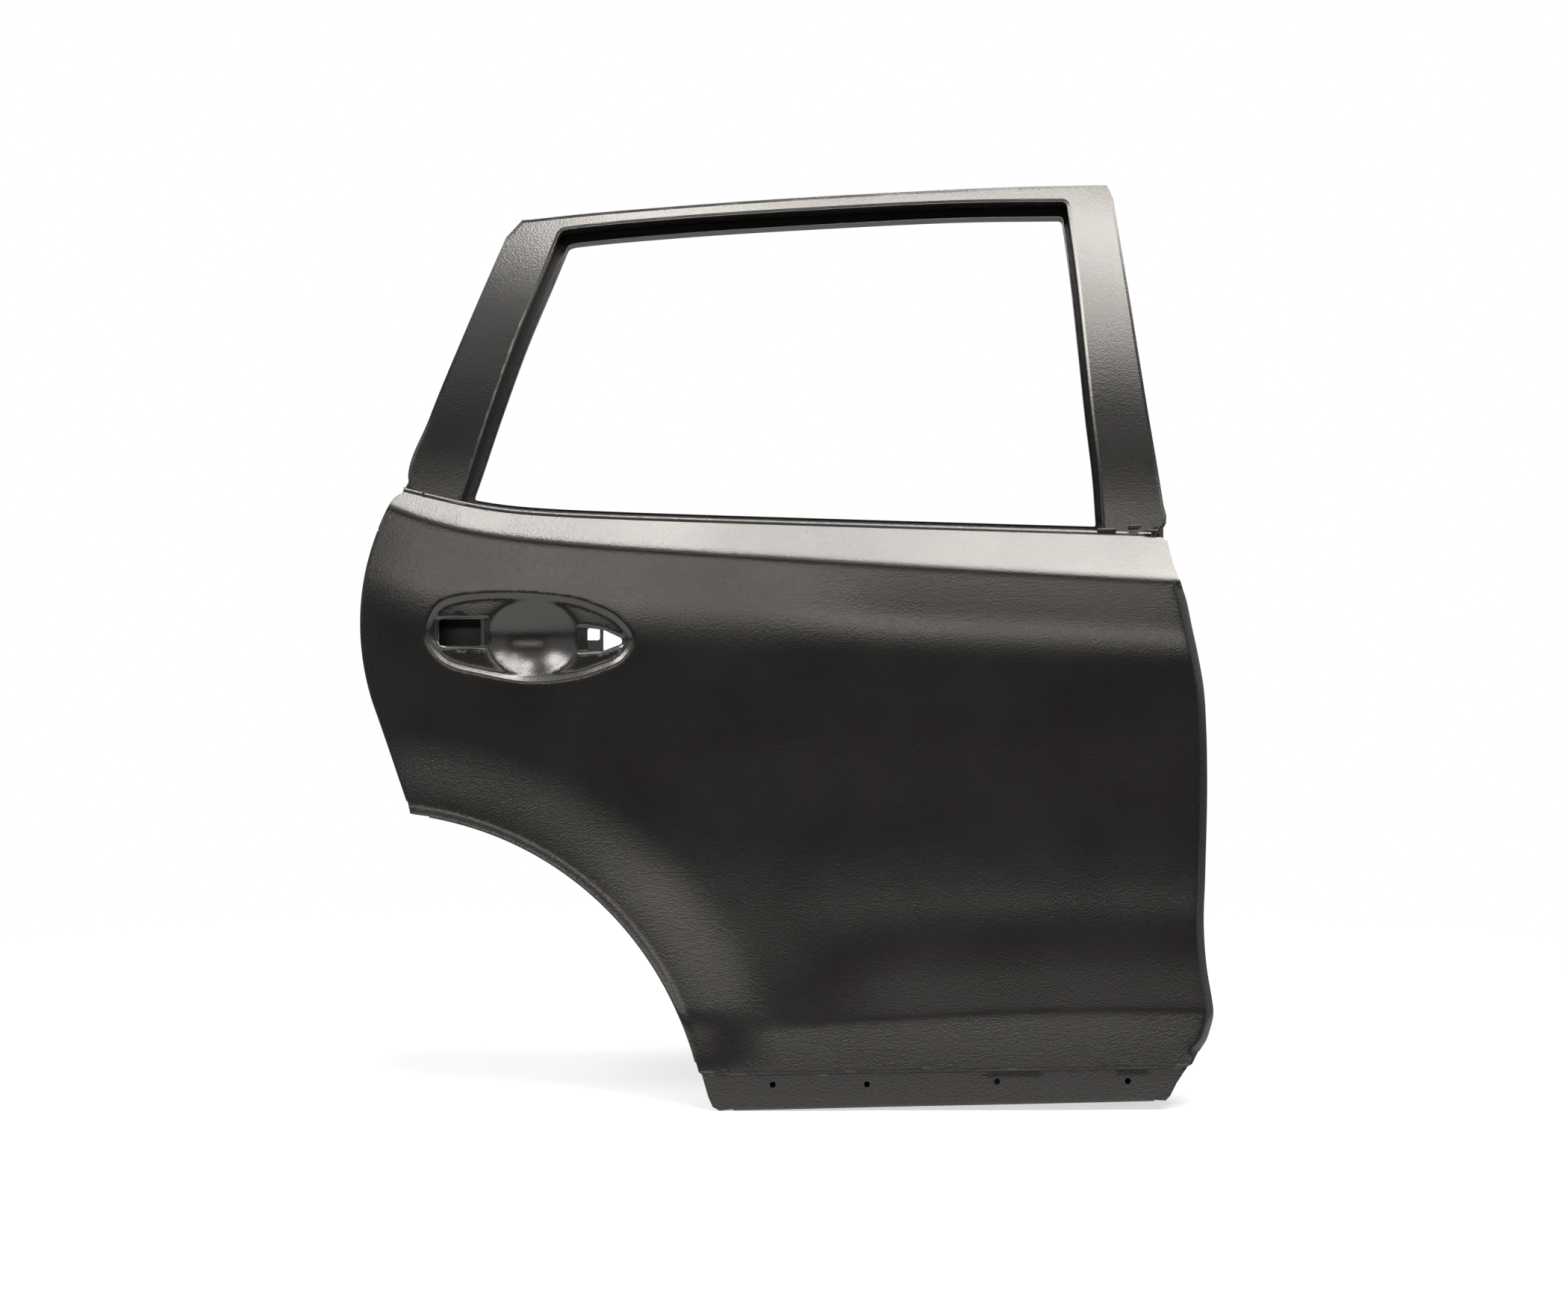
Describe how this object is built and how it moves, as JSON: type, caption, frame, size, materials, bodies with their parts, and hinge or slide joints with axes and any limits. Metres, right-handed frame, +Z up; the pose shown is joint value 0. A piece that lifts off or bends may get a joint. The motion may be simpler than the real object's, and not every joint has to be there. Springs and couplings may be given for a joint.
{
  "type": "car door shell",
  "caption": "Bare pressed-steel rear side door of a car: hemmed skin, inner panel, window frame, glass run channels and stiffening.",
  "frame": {"origin": "middle of the upper hinge's mounting face, between its two bolt holes, on the front side wall of the inner panel", "axes": "+X points to the front of the car, +Y inboard, away from the outer skin, +Z up"},
  "size_m": [1.1362, 0.2891, 1.241],
  "materials": {
    "skin_coat": "satin",
    "inner_coat": "satin",
    "deep_coat": "satin",
    "mastic": "matte",
    "zinc": "satin"
  },
  "bodies": {
    "root": {"outer_panel": "skin_coat", "window_frame_outer": "skin_coat", "inner_panel": "inner_coat", "front_sash_run_channel": "deep_coat", "header_run_channel": "deep_coat", "rear_sash_run_channel": "deep_coat", "front_lower_run_channel": "deep_coat", "rear_lower_run_channel": "deep_coat", "front_channel_bracket": "deep_coat", "rear_channel_bracket": "deep_coat", "waist_reinforcement_outer": "deep_coat", "waist_reinforcement_inner": "deep_coat", "front_sash_bracket": "deep_coat", "rear_sash_bracket": "deep_coat", "handle_reinforcement": "deep_coat", "upper_hinge_reinforcement": "deep_coat", "lower_hinge_reinforcement": "deep_coat", "check_link_reinforcement": "deep_coat", "latch_reinforcement": "deep_coat", "side_impact_beam": "deep_coat", "beam_bracket_front": "deep_coat", "beam_bracket_rear": "deep_coat", "beam_mastic_pad_front": "mastic", "beam_mastic_pad_middle": "mastic", "beam_mastic_pad_rear": "mastic", "upper_hinge_nut_lower": "zinc", "upper_hinge_nut_upper": "zinc", "lower_hinge_nut_lower": "zinc", "lower_hinge_nut_upper": "zinc", "check_link_nut_lower": "zinc", "check_link_nut_upper": "zinc"}
  },
  "joints": []
}
